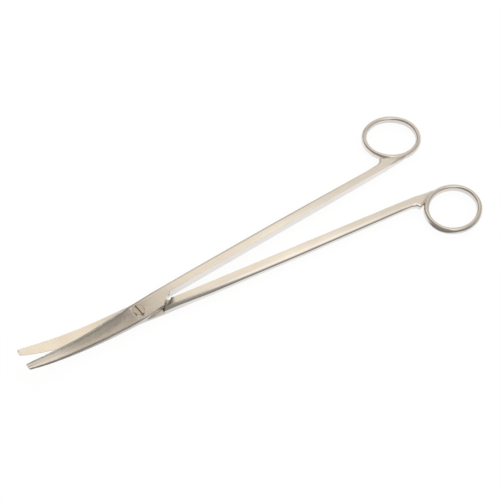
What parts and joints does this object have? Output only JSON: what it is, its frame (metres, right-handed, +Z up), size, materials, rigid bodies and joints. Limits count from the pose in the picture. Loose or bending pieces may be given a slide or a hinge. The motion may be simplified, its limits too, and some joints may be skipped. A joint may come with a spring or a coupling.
{
  "type": "dissecting scissors",
  "caption": "Long slender surgical dissecting scissors with upward-curved blunt-tipped blades, a screwed lap joint and offset oval finger rings, in satin stainless steel.",
  "frame": {"origin": "on the pivot screw's axis, at the underside of the joint", "axes": "+X from the screw to the finger rings, +Y to the upper half's shank, +Z up out of the slotted side of the joint, the way the blades bend"},
  "size_m": [0.2263, 0.0758, 0.0117],
  "materials": {
    "satin_steel": "satin, fine lengthwise grain",
    "screw_steel": "satin"
  },
  "bodies": {
    "lower": {"lower_half": "satin_steel", "pivot_screw": "screw_steel"},
    "upper": {"upper_half": "satin_steel"}
  },
  "joints": [
    {"name": "blade_pivot", "type": "hinge", "parent": "lower", "child": "upper", "pos_m": [0, 0, 0], "axis": [0, 0, 1], "range_deg": [-7.8, 52]}
  ]
}
